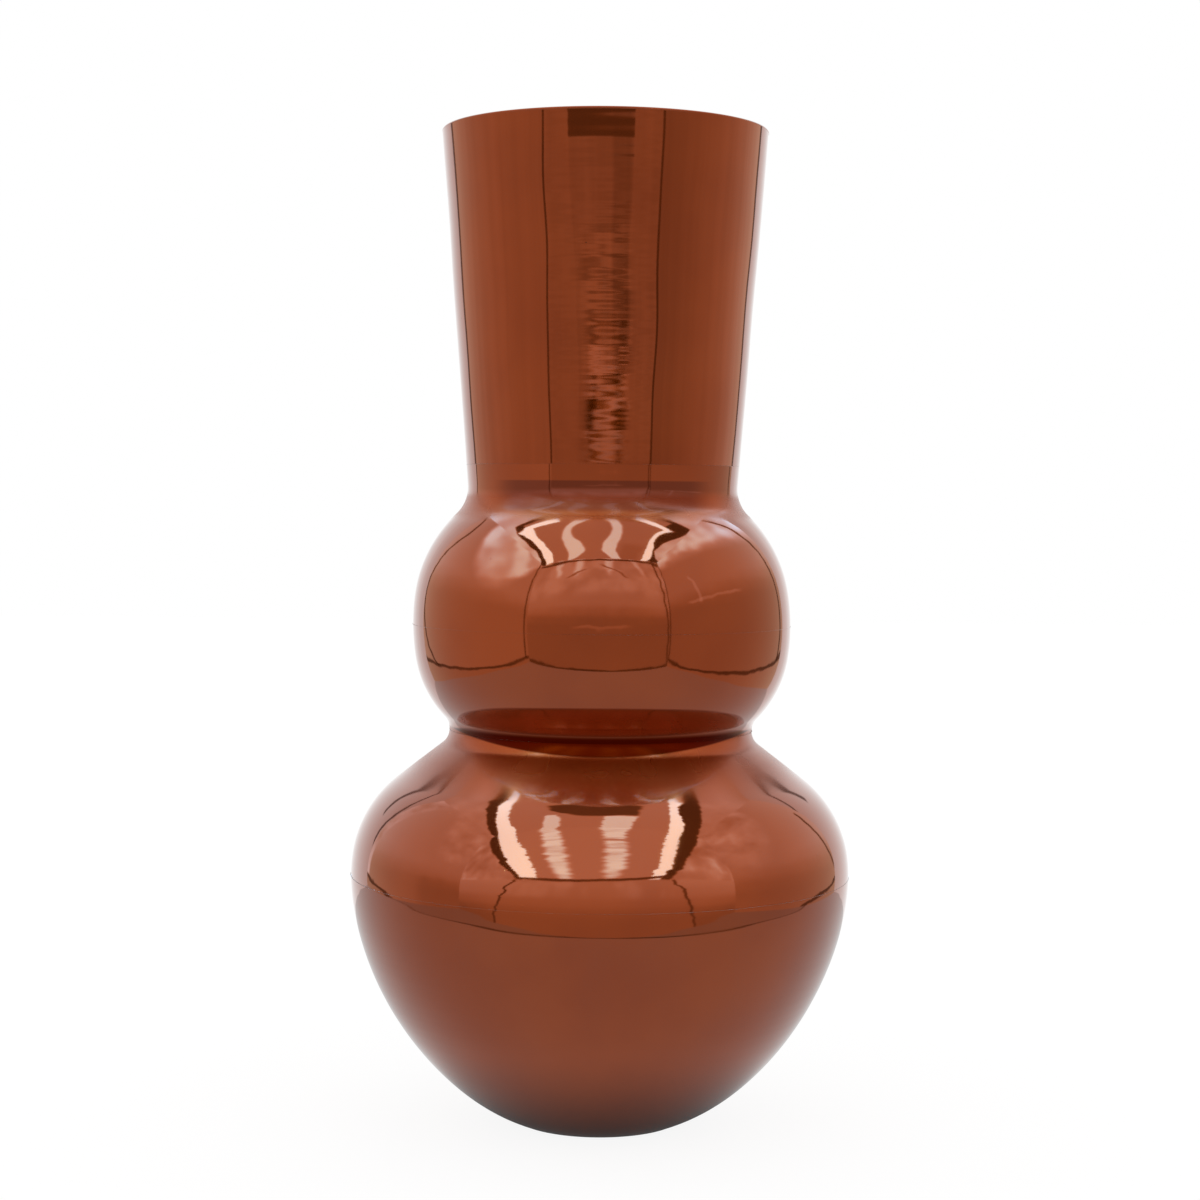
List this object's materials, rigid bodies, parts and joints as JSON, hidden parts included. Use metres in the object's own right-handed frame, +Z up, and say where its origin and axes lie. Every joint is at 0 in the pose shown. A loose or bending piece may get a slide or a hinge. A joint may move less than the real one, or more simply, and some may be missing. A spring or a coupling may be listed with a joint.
{
  "type": "zinc vase",
  "caption": "Tall lacquered metal vase with a flared neck, a squashed ball, a narrow waist and a wide bulb that tapers to a small flat foot.",
  "frame": {"origin": "centre of the round face that the vase stands on", "axes": "+Z up along the axis of revolution; the vase is round, so +X and +Y have no other meaning"},
  "size_m": [0.1514, 0.1514, 0.3],
  "materials": {
    "lacquered_zinc": "mirror-gloss transparent reddish-brown lacquer over spun zinc",
    "soft_solder": "dull grey soft solder",
    "felt": "black felt"
  },
  "bodies": {
    "root": {"neck_tube": "lacquered_zinc", "ball_upper_half": "lacquered_zinc", "ball_lower_half": "lacquered_zinc", "bulb_shoulder": "lacquered_zinc", "bulb_bowl": "lacquered_zinc", "solder_neck": "soft_solder", "solder_ball": "soft_solder", "solder_waist": "soft_solder", "solder_bulb": "soft_solder", "base_pad": "felt"}
  },
  "joints": []
}
